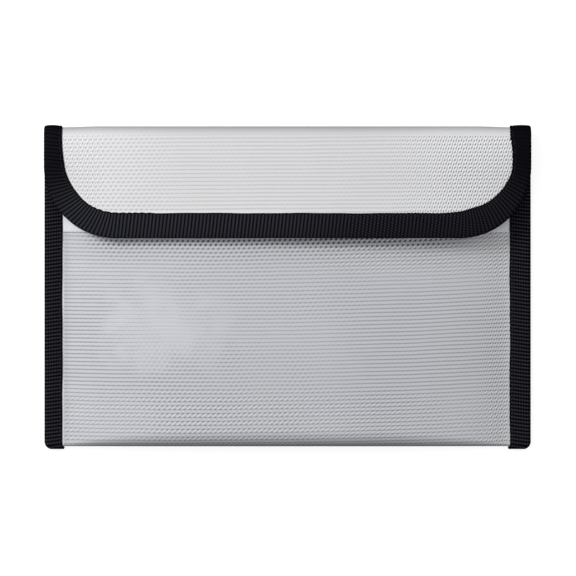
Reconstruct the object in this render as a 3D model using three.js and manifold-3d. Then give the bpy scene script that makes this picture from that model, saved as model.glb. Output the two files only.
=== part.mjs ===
// Flap-top fire-resistant battery pouch, lying on its back with the flap closed.
// Millimetres. +X runs along the flap crease, +Y from the bottom fold to the crease, +Z out of the
// front. The origin is at the centre of the base of the bag's box.
//
// The bag is one long three-layer strip (coated outer fabric, felt, lining) folded into a pouch. Its
// two raw side edges and the free edge of the flap are wrapped in woven tape. The strip is split into
// panels here, because each panel is stiff and the crease between pouch and flap is a pair of hinges.

import * as THREE from 'three';
import Module from 'manifold-3d';
import { mergeVertices } from 'three/addons/utils/BufferGeometryUtils.js';

const wasm = await Module();
wasm.setup();

// ---- Driving dimensions ----

const WIDTH = 240;
const HEIGHT = 160;
const FABRIC_BOTTOM = -78.45;

// Layers of the strip and the air left between them.
const OUTER_THICKNESS = 0.6;
const FELT_THICKNESS = 0.8;
const LINING_THICKNESS = 0.5;
const LAYER_GAP = 0.15;
const FELT_DEPTH = OUTER_THICKNESS + LAYER_GAP;
const LINING_DEPTH = FELT_DEPTH + FELT_THICKNESS + LAYER_GAP;
const STACK = LINING_DEPTH + LINING_THICKNESS;

// At a side seam the felt is trimmed away, so four thin layers lie together.
const SEAM_LINING_DEPTH = OUTER_THICKNESS + LAYER_GAP;
const HALF_SEAM = SEAM_LINING_DEPTH + LINING_THICKNESS;
const SEAM_STACK = 2 * HALF_SEAM + LAYER_GAP;
const FELT_EDGE_X = 98;
const SEAM_X = 109.5;

// Edge binding: woven tape folded in half over a raw edge.
const TAPE_THICKNESS = 0.55;
const TAPE_GAP = 0.2;
const TAPE_STANDOFF = TAPE_THICKNESS + TAPE_GAP;
const SIDE_TAPE_LEFT = 8.9;
const SIDE_TAPE_RIGHT = 10.4;
const FLAP_TAPE_SIDE = 9.4;
const FLAP_TAPE_BOTTOM = 12.3;
const MOUTH_TAPE = 10;
const TAPE_END_WALL = 1.25;
const EDGE_X = WIDTH / 2 - TAPE_STANDOFF;

// The pouch: a crowned front over a flat back.
const EDGE_LIFT = 0.9;
const LIFT_START_X = 93;
const BOTTOM_DEPTH = 15;
const MOUTH_DEPTH = 10.55;
const TAPER_START_Y = -40;
const MOUTH_Y = 66;
const CROWN_POWER = 3;

// Sewing thread, as one flat strand laid along each seam.
const THREAD_WIDTH = 0.5;
const THREAD_THICKNESS = 0.3;
const THREAD_GAP = 0.1;
const SEAM_INSET = 2;

// The crease over the mouth, round about an axis along X.
const CREASE_RADIUS = 6.9;
const CREASE_RADIUS_AT_EDGE = 6.45;
const CREASE_TOP = 2 * CREASE_RADIUS;
const THREAD_STANDOFF = TAPE_STANDOFF + THREAD_GAP + THREAD_THICKNESS;
const CREASE_Y = HEIGHT / 2 - THREAD_STANDOFF - CREASE_RADIUS_AT_EDGE;
const FIRST_HINGE = Math.PI / 4;
const SECOND_HINGE = 3 * Math.PI / 4;
const HINGE_SPLIT = 0.035;

// The flap.
const FLAP_Y = 24.05;
const FLAP_CORNER = 35.5;
const FLAP_RISE = 3;
const FLAP_RISE_POWER = 2.2;
const FLAP_DROOP = 8.5;
const FLAP_DROOP_LENGTH = 45;
const PANEL_GAP = 0.3;

// Hook-and-loop closure.
const LOOP_LOW_Y = 27.1;
const LOOP_HIGH_Y = 52.1;
const LOOP_HALF_X = 109;
const LOOP_THICKNESS = 1;
const HOOK_LOW_Y = 36.5;
const HOOK_HIGH_Y = 56.5;
const HOOK_HALF_X = 84;
const HOOK_THICKNESS = 1;
const CLOSURE_GAP = 0.15;

// ---- Materials ----

const MATERIALS = {
  coated_fabric: { color: 0xc4c6cb, roughness: 0.42, metalness: 0.6 },
  felt: { color: 0xe6e2d8, roughness: 0.95, metalness: 0 },
  lining: { color: 0xb9bcc0, roughness: 0.7, metalness: 0.2 },
  binding_tape: { color: 0x1a1b22, roughness: 0.8, metalness: 0 },
  loop_tape: { color: 0xdfe2ee, roughness: 0.9, metalness: 0 },
  hook_tape: { color: 0xd2d5e0, roughness: 0.6, metalness: 0 },
  thread: { color: 0x202128, roughness: 0.6, metalness: 0 },
};

// ---- Small helpers ----

const lerp = (a, b, t) => a + (b - a) * t;

function ease(t) {
  const c = Math.min(1, Math.max(0, t));
  return c * c * (3 - 2 * c);
}

// A sorted list of x places, the same on both sides of the middle.
function mirrored(halfList) {
  const negative = halfList.filter((x) => x > 0).map((x) => -x).reverse();
  return [...negative, ...halfList];
}

function steps(from, to, count) {
  return Array.from({ length: count + 1 }, (_, i) => lerp(from, to, i / count));
}

// A closed sheet from two matching grids of points, near[i][j] and far[i][j], joined round the rim.
function slab(near, far) {
  const rows = near.length;
  const cols = near[0].length;
  const positions = [...near.flat(), ...far.flat()].flatMap((p) => [p.x, p.y, p.z]);
  const at = (side, i, j) => side * rows * cols + i * cols + j;
  const index = [];
  const quad = (a, b, c, d) => index.push(a, b, c, a, c, d);
  for (let i = 0; i < rows - 1; i++) {
    for (let j = 0; j < cols - 1; j++) {
      quad(at(0, i, j), at(0, i, j + 1), at(0, i + 1, j + 1), at(0, i + 1, j));
      quad(at(1, i, j), at(1, i + 1, j), at(1, i + 1, j + 1), at(1, i, j + 1));
    }
  }
  for (let j = 0; j < cols - 1; j++) {
    quad(at(0, 0, j), at(1, 0, j), at(1, 0, j + 1), at(0, 0, j + 1));
    quad(at(0, rows - 1, j), at(0, rows - 1, j + 1), at(1, rows - 1, j + 1), at(1, rows - 1, j));
  }
  for (let i = 0; i < rows - 1; i++) {
    quad(at(0, i, 0), at(0, i + 1, 0), at(1, i + 1, 0), at(1, i, 0));
    quad(at(0, i, cols - 1), at(1, i, cols - 1), at(1, i + 1, cols - 1), at(0, i + 1, cols - 1));
  }
  const geometry = new THREE.BufferGeometry();
  geometry.setAttribute('position', new THREE.Float32BufferAttribute(positions, 3));
  geometry.setIndex(index);
  return facingOut(geometry);
}

function signedVolume(geometry) {
  const p = geometry.getAttribute('position');
  const index = geometry.getIndex().array;
  const [a, b, c] = [new THREE.Vector3(), new THREE.Vector3(), new THREE.Vector3()];
  let volume = 0;
  for (let i = 0; i < index.length; i += 3) {
    a.fromBufferAttribute(p, index[i]);
    b.fromBufferAttribute(p, index[i + 1]);
    c.fromBufferAttribute(p, index[i + 2]);
    volume += a.dot(b.cross(c)) / 6;
  }
  return volume;
}

function facingOut(geometry) {
  if (signedVolume(geometry) < 0) {
    geometry.setIndex(Array.from(geometry.getIndex().array).reverse());
  }
  return geometry;
}

function toManifold(geometry) {
  const bare = geometry.clone();
  bare.deleteAttribute('normal');
  bare.deleteAttribute('uv');
  const merged = mergeVertices(bare);
  return new wasm.Manifold(new wasm.Mesh({
    numProp: 3,
    vertProperties: new Float32Array(merged.getAttribute('position').array),
    triVerts: new Uint32Array(merged.getIndex().array),
  }));
}

function joined(...geometries) {
  const solid = geometries.map(toManifold).reduce((sum, next) => sum.add(next));
  const mesh = solid.getMesh();
  const geometry = new THREE.BufferGeometry();
  geometry.setAttribute('position', new THREE.Float32BufferAttribute(mesh.vertProperties, 3));
  geometry.setIndex(Array.from(mesh.triVerts));
  return geometry;
}

// ---- Surfaces ----
// Every layer is placed by its depth below the strip's outer face, so the layers nest exactly.

const liftShare = (x) => ease((Math.abs(x) - LIFT_START_X) / (SEAM_X - LIFT_START_X));
const backZ = (x) => EDGE_LIFT * liftShare(x);
const crown = (x) => 1 - Math.min(1, Math.abs(x) / SEAM_X) ** CROWN_POWER;

function frontZ(x, y) {
  const taper = ease((y - TAPER_START_Y) / (MOUTH_Y - TAPER_START_Y));
  const middle = lerp(BOTTOM_DEPTH, MOUTH_DEPTH, taper);
  const seamTop = EDGE_LIFT + SEAM_STACK;
  return lerp(seamTop, middle, crown(x));
}

// The bottom fold is a half circle at every x, tight at the seams and full in the middle.
const foldRadius = (x) => (frontZ(x, FABRIC_BOTTOM) - backZ(x)) / 2;
const foldY = (x) => FABRIC_BOTTOM + foldRadius(x);

function bottomPoint(x, angle, depth) {
  const radius = foldRadius(x) - depth;
  const z = backZ(x) + foldRadius(x) + radius * Math.cos(angle);
  return new THREE.Vector3(x, foldY(x) - radius * Math.sin(angle), z);
}

// The crease runs from the back (angle 0) over the mouth to the flap (angle pi).
function creasePoint(x, angle, depth) {
  const full = lerp(CREASE_RADIUS, CREASE_RADIUS_AT_EDGE, liftShare(x));
  const radius = full - depth;
  return new THREE.Vector3(
    x,
    CREASE_Y + radius * Math.sin(angle),
    backZ(x) + full - radius * Math.cos(angle),
  );
}

function flapZ(x, y) {
  const fall = Math.max(0, (y - FLAP_Y) / (CREASE_Y - FLAP_Y)) ** FLAP_RISE_POWER;
  const droop = FLAP_DROOP * ease((CREASE_Y - y) / FLAP_DROOP_LENGTH);
  return CREASE_TOP + FLAP_RISE * (1 - fall) - droop * Math.abs(x / EDGE_X) ** 3;
}

const frontPoint = (x, y, depth) => new THREE.Vector3(x, y, frontZ(x, y) - depth);
const backPoint = (x, y, depth) => new THREE.Vector3(x, y, backZ(x) + depth);
const flapPoint = (x, y, depth) => new THREE.Vector3(x, y, flapZ(x, y) - depth);

// The lining rises to meet the outer fabric where the felt is trimmed away, along the pouch seams.
function pouchLiningDepth(x, y) {
  const trimmed = ease((Math.abs(x) - FELT_EDGE_X) / (SEAM_X - FELT_EDGE_X));
  const inPouch = 1 - ease((y - MOUTH_Y) / (CREASE_Y - MOUTH_Y));
  return lerp(LINING_DEPTH, SEAM_LINING_DEPTH, trimmed * inPouch);
}

// ---- Panels ----

const SEAM_COLUMNS = mirrored([0, 22, 45, 70, 88, FELT_EDGE_X, SEAM_X, EDGE_X]);
const FELT_COLUMNS = mirrored([0, 22, 45, 70, 88, FELT_EDGE_X]);
const PANEL_ROWS = [-58, -35, -5, LOOP_LOW_Y, LOOP_HIGH_Y];
const MOUTH_EDGE_Y = MOUTH_Y - TAPE_STANDOFF;

// A layer of a panel: place(x, row, depth) gives a point, and depths(x, y) the layer's two faces.
function layer(columns, rows, place, depths) {
  const face = (side) => rows.map((row) => columns.map((x) => {
    const y = place(x, row, 0).y;
    return place(x, row, depths(x, y)[side]);
  }));
  return slab(face(0), face(1));
}

const outerDepths = () => [0, OUTER_THICKNESS];
const feltDepths = () => [FELT_DEPTH, FELT_DEPTH + FELT_THICKNESS];
const fullLiningDepths = () => [LINING_DEPTH, STACK];

function pouchLiningDepths(x, y) {
  const depth = pouchLiningDepth(x, y);
  return [depth, depth + LINING_THICKNESS];
}

// Row places that follow the bottom fold are functions of x; the rest are plain numbers.
const lowestRow = (x) => foldY(x) + PANEL_GAP;
const rowY = (row, x) => (typeof row === 'function' ? row(x) : row);

const frontRows = [lowestRow, ...PANEL_ROWS, MOUTH_EDGE_Y];
const placeFront = (x, row, depth) => frontPoint(x, rowY(row, x), depth);

const bottomRows = steps(0, Math.PI, 8);

const curlRows = steps(0, FIRST_HINGE - HINGE_SPLIT, 2).slice(1);
const backRows = [
  ...[lowestRow, ...PANEL_ROWS, MOUTH_Y, CREASE_Y].map((row) => ({ row })),
  ...curlRows.map((angle) => ({ angle })),
];

function placeBack(x, station, depth) {
  if (station.angle !== undefined) {
    return creasePoint(x, station.angle, depth);
  }
  return backPoint(x, rowY(station.row, x), depth);
}

const creaseRows = steps(FIRST_HINGE + HINGE_SPLIT, SECOND_HINGE - HINGE_SPLIT, 4);

// The flap's fabric ends in a rounded outline, covered by the binding.
const fabricCorner = FLAP_CORNER - TAPE_STANDOFF;
const cornerX = EDGE_X - fabricCorner;
const cornerY = FLAP_Y + FLAP_CORNER;
const cornerSteps = steps(0, Math.PI / 2, 6);
const FLAP_COLUMNS = mirrored([
  0, 20, 40, 62,
  ...cornerSteps.map((angle) => cornerX + fabricCorner * Math.sin(angle)),
]);

function flapEdgeY(x) {
  const past = Math.max(0, Math.abs(x) - cornerX);
  return cornerY - Math.sqrt(Math.max(0, fabricCorner ** 2 - past ** 2));
}

const flapCurl = steps(SECOND_HINGE + HINGE_SPLIT, Math.PI, 2).slice(0, -1);
const flapRows = [
  ...flapCurl.map((angle) => ({ angle })),
  ...steps(0, 1, 6).map((share) => ({ share })),
];

function placeFlap(x, station, depth) {
  if (station.angle !== undefined) {
    return creasePoint(x, station.angle, depth);
  }
  return flapPoint(x, lerp(CREASE_Y, flapEdgeY(x), station.share), depth);
}

// ---- Edge binding ----

// The folded tape's section round an edge, as pairs of [distance in from the edge, depth] on its
// outer and inner faces.
function tapeSection(width, stack) {
  const reach = width - TAPE_STANDOFF;
  const soft = 0.35;
  const near = 0.15;
  const leg = [reach, reach - SEAM_INSET, reach / 2];
  const topOuter = leg.map((e) => [e, -TAPE_STANDOFF]);
  const topInner = leg.map((e) => [e, -TAPE_GAP]);
  const lowOuter = [...leg].reverse().map((e) => [e, stack + TAPE_STANDOFF]);
  const lowInner = [...leg].reverse().map((e) => [e, stack + TAPE_GAP]);
  const outer = [
    ...topOuter,
    [soft - TAPE_STANDOFF, -TAPE_STANDOFF],
    [-TAPE_STANDOFF, soft - TAPE_STANDOFF],
    [-TAPE_STANDOFF, stack + TAPE_STANDOFF - soft],
    [soft - TAPE_STANDOFF, stack + TAPE_STANDOFF],
    ...lowOuter,
  ];
  const inner = [
    ...topInner,
    [near - TAPE_GAP, -TAPE_GAP],
    [-TAPE_GAP, near - TAPE_GAP],
    [-TAPE_GAP, stack + TAPE_GAP - near],
    [near - TAPE_GAP, stack + TAPE_GAP],
    ...lowInner,
  ];
  return { outer, inner };
}

// stations: { width, stack, place(inset, depth) } along the edge.
function binding(stations) {
  const sections = stations.map((station) => tapeSection(station.width, station.stack));
  const face = (name) => stations.map((station, i) => (
    sections[i][name].map(([inset, depth]) => station.place(inset, depth))
  ));
  return slab(face('outer'), face('inner'));
}

// A strand of thread on the outer face of the tape at each station.
function strand(stations, faceDepth, direction) {
  const low = faceDepth + direction * THREAD_GAP;
  const high = low + direction * THREAD_THICKNESS;
  const face = (depthOf) => stations.map((station) => {
    const middle = station.width - TAPE_STANDOFF - SEAM_INSET;
    return [-1, 1].map((side) => (
      station.place(middle + side * THREAD_WIDTH / 2, depthOf(station))
    ));
  });
  const base = (station) => (direction > 0 ? station.stack : 0);
  return slab(face((station) => base(station) + low), face((station) => base(station) + high));
}

const onOuterFace = (stations) => strand(stations, -TAPE_STANDOFF, -1);
const onInnerFace = (stations) => strand(stations, TAPE_STANDOFF, 1);

function sideStation(side, width, y, angle) {
  const inPouch = 1 - ease((y - MOUTH_Y) / (CREASE_Y - MOUTH_Y));
  const place = (inset, depth) => {
    const x = side * (EDGE_X - inset);
    return angle === undefined ? backPoint(x, y, depth) : creasePoint(x, angle, depth);
  };
  return { width, stack: lerp(STACK, SEAM_STACK, inPouch), place };
}

function creaseStations(side, width, angles) {
  return angles.map((angle) => sideStation(side, width, CREASE_Y, angle));
}

function sideBinding(side, width) {
  const tapeBottom = -HEIGHT / 2;
  const ys = [tapeBottom + TAPE_END_WALL / 2, ...PANEL_ROWS, MOUTH_Y, CREASE_Y];
  const tape = binding([
    ...ys.map((y) => sideStation(side, width, y)),
    ...creaseStations(side, width, curlRows),
  ]);
  const sectionHeight = SEAM_STACK + 2 * TAPE_STANDOFF;
  const endWall = new THREE.BoxGeometry(width, TAPE_END_WALL, sectionHeight);
  endWall.translate(
    side * (WIDTH / 2 - width / 2),
    tapeBottom + TAPE_END_WALL / 2,
    EDGE_LIFT - TAPE_STANDOFF + sectionHeight / 2,
  );
  return joined(tape, endWall);
}

function sideThread(side, width) {
  const ys = [FABRIC_BOTTOM + SEAM_INSET, ...PANEL_ROWS, MOUTH_Y, CREASE_Y];
  return onInnerFace([
    ...ys.map((y) => sideStation(side, width, y)),
    ...creaseStations(side, width, curlRows),
  ]);
}

// The tape round the flap: down one side, round the corner, along the bottom and up the other side.
function flapStations() {
  const half = [];
  for (const angle of flapCurl) {
    half.push({
      width: FLAP_TAPE_SIDE,
      place: (side) => (inset, depth) => creasePoint(side * (EDGE_X - inset), angle, depth),
    });
  }
  for (const y of [CREASE_Y, (CREASE_Y + cornerY) / 2]) {
    half.push({
      width: FLAP_TAPE_SIDE,
      place: (side) => (inset, depth) => flapPoint(side * (EDGE_X - inset), y, depth),
    });
  }
  for (const angle of [...cornerSteps].reverse()) {
    half.push({
      width: lerp(FLAP_TAPE_BOTTOM, FLAP_TAPE_SIDE, angle / (Math.PI / 2)),
      place: (side) => (inset, depth) => {
        const radius = fabricCorner - inset;
        const x = side * (cornerX + radius * Math.sin(angle));
        return flapPoint(x, cornerY - radius * Math.cos(angle), depth);
      },
    });
  }
  const fabricY = FLAP_Y + TAPE_STANDOFF;
  const straight = mirrored([0, 20, 40, 62]).map((x) => ({
    width: FLAP_TAPE_BOTTOM,
    place: (inset, depth) => flapPoint(x, fabricY + inset, depth),
  }));
  const onSide = (side) => half.map(({ width, place }) => ({ width, place: place(side) }));
  const stations = [...onSide(-1), ...straight, ...onSide(1).reverse()];
  return stations.map((station) => ({ ...station, stack: STACK }));
}

function mouthStations() {
  const end = FELT_EDGE_X + 1;
  const xs = mirrored([0, 22, 45, 70, 88, end]);
  return xs.map((x) => ({
    width: MOUTH_TAPE,
    stack: STACK,
    place: (inset, depth) => frontPoint(x, MOUTH_EDGE_Y - inset, depth),
  }));
}

// ---- Hook-and-loop tapes and their stitching ----

const placeOnFront = (x, y, depth) => frontPoint(x, y, depth);
const placeOnFlap = (x, y, depth) => flapPoint(x, y, depth);

const loopColumns = mirrored([0, 22, 45, 70, 88, FELT_EDGE_X, LOOP_HALF_X]);
const loopDepths = () => [-CLOSURE_GAP - LOOP_THICKNESS, -CLOSURE_GAP];

const hookColumns = mirrored([0, 20, 40, 62, HOOK_HALF_X]);
const hookRows = steps(HOOK_LOW_Y, HOOK_HIGH_Y, 2);
const hookTop = STACK + CLOSURE_GAP + LAYER_GAP;
const hookDepths = () => [hookTop, hookTop + HOOK_THICKNESS];

// A row of stitching along one edge of a flat tape, at a height given as a depth.
function tapeThread(columns, y, place, depth, direction) {
  const rows = [y - THREAD_WIDTH / 2, y + THREAD_WIDTH / 2];
  const depths = () => [depth, depth + direction * THREAD_THICKNESS];
  return layer(columns, rows, place, depths);
}

const loopFace = -CLOSURE_GAP - LOOP_THICKNESS - THREAD_GAP;

// ---- Assembly ----

const bag = new THREE.Group();

function add(name, materialName, geometry) {
  geometry.computeVertexNormals();
  const mesh = new THREE.Mesh(geometry, new THREE.MeshStandardMaterial(MATERIALS[materialName]));
  mesh.name = name;
  bag.add(mesh);
}

add('front_panel', 'coated_fabric', layer(SEAM_COLUMNS, frontRows, placeFront, outerDepths));
add('front_insulation', 'felt', layer(FELT_COLUMNS, frontRows, placeFront, feltDepths));
add('front_lining', 'lining', layer(SEAM_COLUMNS, frontRows, placeFront, pouchLiningDepths));

add('bottom_fold', 'coated_fabric', layer(SEAM_COLUMNS, bottomRows, bottomPoint, outerDepths));
add('bottom_insulation', 'felt', layer(FELT_COLUMNS, bottomRows, bottomPoint, feltDepths));
add('bottom_lining', 'lining', layer(SEAM_COLUMNS, bottomRows, bottomPoint, pouchLiningDepths));

add('back_panel', 'coated_fabric', layer(SEAM_COLUMNS, backRows, placeBack, outerDepths));
add('back_insulation', 'felt', layer(FELT_COLUMNS, backRows, placeBack, feltDepths));
add('back_lining', 'lining', layer(SEAM_COLUMNS, backRows, placeBack, pouchLiningDepths));

add('crease_panel', 'coated_fabric', layer(SEAM_COLUMNS, creaseRows, creasePoint, outerDepths));
add('crease_insulation', 'felt', layer(SEAM_COLUMNS, creaseRows, creasePoint, feltDepths));
add('crease_lining', 'lining', layer(SEAM_COLUMNS, creaseRows, creasePoint, fullLiningDepths));

add('flap_panel', 'coated_fabric', layer(FLAP_COLUMNS, flapRows, placeFlap, outerDepths));
add('flap_insulation', 'felt', layer(FLAP_COLUMNS, flapRows, placeFlap, feltDepths));
add('flap_lining', 'lining', layer(FLAP_COLUMNS, flapRows, placeFlap, fullLiningDepths));

const SIDES = [
  { word: 'left', sign: -1, width: SIDE_TAPE_LEFT },
  { word: 'right', sign: 1, width: SIDE_TAPE_RIGHT },
];
for (const { word, sign, width } of SIDES) {
  const crease = creaseStations(sign, FLAP_TAPE_SIDE, creaseRows);
  add(`${word}_side_binding`, 'binding_tape', sideBinding(sign, width));
  add(`${word}_side_thread`, 'thread', sideThread(sign, width));
  add(`${word}_crease_binding`, 'binding_tape', binding(crease));
  add(`${word}_crease_thread`, 'thread', onOuterFace(crease));
}

add('flap_binding', 'binding_tape', binding(flapStations()));
add('flap_binding_thread', 'thread', onOuterFace(flapStations()));
add('mouth_binding', 'binding_tape', binding(mouthStations()));
add('mouth_thread', 'thread', onOuterFace(mouthStations()));

const loopRows = [LOOP_LOW_Y, LOOP_HIGH_Y];
add('loop_tape', 'loop_tape', layer(loopColumns, loopRows, placeOnFront, loopDepths));
add('hook_tape', 'hook_tape', layer(hookColumns, hookRows, placeOnFlap, hookDepths));
const loopSeams = { lower: LOOP_LOW_Y + SEAM_INSET, upper: LOOP_HIGH_Y - SEAM_INSET };
for (const [word, y] of Object.entries(loopSeams)) {
  add(`loop_${word}_thread`, 'thread', tapeThread(loopColumns, y, placeOnFront, loopFace, -1));
}

export default bag;
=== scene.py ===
"""Flap-top battery pouch: silver coated cloth with black ribbed edge binding, lying on its back.

The shape code works in millimetres in the CAD frame (+X along the crease, +Y towards it, +Z up),
and new_mesh() turns millimetres into metres. The node code works in metres. One strip of cloth runs
from the pouch's mouth down the front, round the bottom fold, up the back, over the crease and down
the flap. Every layer, tape and stitch is placed by its depth below the strip's outer face, so they
all follow the same surfaces.
"""

import math

import bmesh
import bpy
import numpy as np
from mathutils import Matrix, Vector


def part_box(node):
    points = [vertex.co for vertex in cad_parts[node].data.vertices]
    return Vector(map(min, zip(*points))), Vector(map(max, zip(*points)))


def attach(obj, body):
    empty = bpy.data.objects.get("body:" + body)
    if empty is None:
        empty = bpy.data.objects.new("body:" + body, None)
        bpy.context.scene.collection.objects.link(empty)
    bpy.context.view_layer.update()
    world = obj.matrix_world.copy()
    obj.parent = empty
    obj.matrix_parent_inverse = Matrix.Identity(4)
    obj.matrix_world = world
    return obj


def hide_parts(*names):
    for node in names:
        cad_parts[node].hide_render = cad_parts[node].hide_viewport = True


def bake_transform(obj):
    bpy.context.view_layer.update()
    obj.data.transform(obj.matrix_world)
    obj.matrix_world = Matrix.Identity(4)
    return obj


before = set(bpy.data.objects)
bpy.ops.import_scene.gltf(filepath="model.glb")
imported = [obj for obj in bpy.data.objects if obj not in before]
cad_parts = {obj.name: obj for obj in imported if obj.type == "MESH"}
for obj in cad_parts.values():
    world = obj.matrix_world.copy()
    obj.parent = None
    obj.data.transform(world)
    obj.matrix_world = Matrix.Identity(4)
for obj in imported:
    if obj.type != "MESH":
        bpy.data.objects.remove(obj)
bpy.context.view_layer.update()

MM = 0.001


def box_mm(node):
    low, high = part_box(node)
    return np.array(low) / MM, np.array(high) / MM


# ---- Sizes from the frame ----

EDGE_X = box_mm("back_panel")[1][0]
HALF_WIDTH = box_mm("right_side_binding")[1][0]
FABRIC_BOTTOM = box_mm("bottom_fold")[0][1]
BOTTOM_DEPTH = box_mm("bottom_fold")[1][2]
TAPE_BOTTOM = box_mm("left_side_binding")[0][1]
MOUTH_Y = box_mm("mouth_binding")[1][1]
FLAP_Y = box_mm("flap_binding")[0][1]
LOOP_LOW, LOOP_HIGH = box_mm("loop_tape")
HOOK_LOW, HOOK_HIGH = box_mm("hook_tape")
SIDE_TAPE = {
    word: np.ptp([corner[0] for corner in box_mm(f"{word}_side_binding")])
    for word in ("left", "right")
}

# ---- Sizes of the cloth, tape and thread ----

OUTER_THICKNESS = 0.6
FELT_THICKNESS = 0.8
LINING_THICKNESS = 0.5
LAYER_GAP = 0.15
FELT_DEPTH = OUTER_THICKNESS + LAYER_GAP
LINING_DEPTH = FELT_DEPTH + FELT_THICKNESS + LAYER_GAP
STACK = LINING_DEPTH + LINING_THICKNESS
SEAM_LINING_DEPTH = OUTER_THICKNESS + LAYER_GAP
SEAM_STACK = 2 * (SEAM_LINING_DEPTH + LINING_THICKNESS) + LAYER_GAP

TAPE_THICKNESS = 0.55
TAPE_GAP = 0.2
STANDOFF = TAPE_THICKNESS + TAPE_GAP
MOUTH_DEPTH = box_mm("mouth_binding")[1][2] - STANDOFF
FLAP_TAPE_BOTTOM = 12.3
FLAP_TAPE_NARROWEST = 9.45
MOUTH_TAPE = 10.0
RIB_PITCH = 1.78
RIB_HEIGHT = 0.09
FLECK_PITCH = 0.64
STATIONS_PER_RIB = 6
SEAM_INSET = 1.4
STITCH_STATIONS = 11
STITCH_GAP = 3
STITCH_RADIUS = 0.2
LOOP_STITCH_RISE = 0.25
LIP = 1.0
LIP_ROUND = 0.9
BOTTOM_CORNER = 3.8
BOTTOM_CORNER_REACH = 4.5
SQUEEZE_LENGTH = 2.6

EDGE_LIFT = 0.9
LIFT_START_X = 93.0
SEAM_X = 109.5
FELT_EDGE_X = 98.0
TAPER_START_Y = -40.0
CREASE_RADIUS = 6.9
CREASE_RADIUS_AT_EDGE = 6.45
CREASE_TOP = 2 * CREASE_RADIUS
CREASE_Y = box_mm("crease_panel")[1][1] - CREASE_RADIUS
FLAP_CORNER = 35.5
FLAP_RISE = 3.0
FLAP_RISE_POWER = 2.2
FLAP_DROOP = 8.5
FLAP_DROOP_LENGTH = 45.0
FLAP_LIFT_RIGHT = 4.0

FABRIC_CORNER = FLAP_CORNER - STANDOFF
CORNER_X = EDGE_X - FABRIC_CORNER
CORNER_Y = FLAP_Y + FLAP_CORNER


# ---- Surfaces ----

def lerp(a, b, t):
    return a + (b - a) * t


def ease(t):
    c = np.clip(t, 0, 1)
    return c * c * (3 - 2 * c)


def lift_share(x):
    return ease((np.abs(x) - LIFT_START_X) / (SEAM_X - LIFT_START_X))


def back_z(x):
    return EDGE_LIFT * lift_share(x)


def crown(x):
    """How far the front has risen from the seam at x, from 0 to 1, leaving the seam flat."""
    full = 1 - np.minimum(1, np.abs(x) / SEAM_X) ** 3
    softness = 0.05
    return (1 + softness) * full * full / (full + softness)


def seam_pucker(x, y):
    """Small gathers that run in from the side seams."""
    from_seam = SEAM_X - np.abs(x)
    side = np.sign(x)
    wave = np.sin(y / 2.9 + 1.7 * np.sin(y / 11.3 + side)) + 0.5 * np.sin(y / 1.9 + 2.1 * side)
    reach = np.clip(from_seam, 0, None)
    return 0.09 * wave * ease(reach / 2.5) * np.exp(-reach / 6.0)


def front_relief(x, y):
    """The slack of an empty pouch: broad low swells and the gathers at its seams."""
    swell = (
        0.22 * np.sin(x / 23.0 + 0.8 * np.sin(y / 31.0)) * np.cos(y / 27.0 + 0.5)
        + 0.16 * np.sin((x + 1.6 * y) / 37.0 + 1.1)
    )
    return swell * crown(x) + seam_pucker(x, y)


def front_z(x, y):
    taper = ease((y - TAPER_START_Y) / (MOUTH_Y - TAPER_START_Y))
    middle = lerp(BOTTOM_DEPTH, MOUTH_DEPTH, taper)
    # the relief fades at the bottom fold and towards the loop tape
    fade = ease((y - FABRIC_BOTTOM - 6) / 20) * (1 - ease((y - LOOP_LOW[1] + 12) / 12))
    return lerp(EDGE_LIFT + SEAM_STACK, middle, crown(x)) + front_relief(x, y) * fade


def fold_radius(x):
    return (lerp(EDGE_LIFT + SEAM_STACK, BOTTOM_DEPTH, crown(x)) - back_z(x)) / 2


def fold_y(x):
    return FABRIC_BOTTOM + fold_radius(x)


def points(x, y, z):
    x, y, z = np.broadcast_arrays(x, y, z)
    return np.stack([x, y, z], axis=-1).astype(float)


def bottom_point(x, angle, depth):
    radius = fold_radius(x) - depth
    z = back_z(x) + fold_radius(x) + radius * np.cos(angle)
    return points(x, fold_y(x) - radius * np.sin(angle), z)


def crease_radius(x):
    return lerp(CREASE_RADIUS, CREASE_RADIUS_AT_EDGE, lift_share(x))


def crease_point(x, angle, depth):
    """angle runs from 0 at the back, over the mouth, to pi at the flap."""
    full = crease_radius(x)
    radius = full - depth
    z = back_z(x) + full - radius * np.cos(angle)
    return points(x, CREASE_Y + radius * np.sin(angle), z)


def flap_relief(x, y):
    down = (CREASE_Y - y) / (CREASE_Y - FLAP_Y)
    swell = (
        0.2 * np.sin(x / 19.0 + 1.3 * np.sin(y / 17.0))
        + 0.14 * np.sin((x - 2.2 * y) / 29.0 + 0.4)
    )
    return swell * ease(down * 1.6) * (1 - 0.6 * ease(down * 2 - 1))


def flap_z(x, y):
    fall = np.clip((y - FLAP_Y) / (CREASE_Y - FLAP_Y), 0, 1) ** FLAP_RISE_POWER
    droop = FLAP_DROOP * ease((CREASE_Y - y) / FLAP_DROOP_LENGTH)
    height = CREASE_TOP + FLAP_RISE * (1 - fall) - droop * np.abs(x / EDGE_X) ** 3
    # the flap's edge stands a little further off the front towards the right
    away = ease((CREASE_Y - y) / (CREASE_Y - FLAP_Y)) ** 3
    return height + FLAP_LIFT_RIGHT * ease((x + 80) / 175) * away + flap_relief(x, y)


def front_point(x, y, depth):
    return points(x, y, front_z(x, y) - depth)


def back_point(x, y, depth):
    return points(x, y, back_z(x) + depth)


def flap_point(x, y, depth):
    return points(x, y, flap_z(x, y) - depth)


def flap_edge_y(x):
    past = np.clip(np.abs(x) - CORNER_X, 0, FABRIC_CORNER)
    return CORNER_Y - np.sqrt(np.clip(FABRIC_CORNER**2 - past**2, 0, None))


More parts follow.
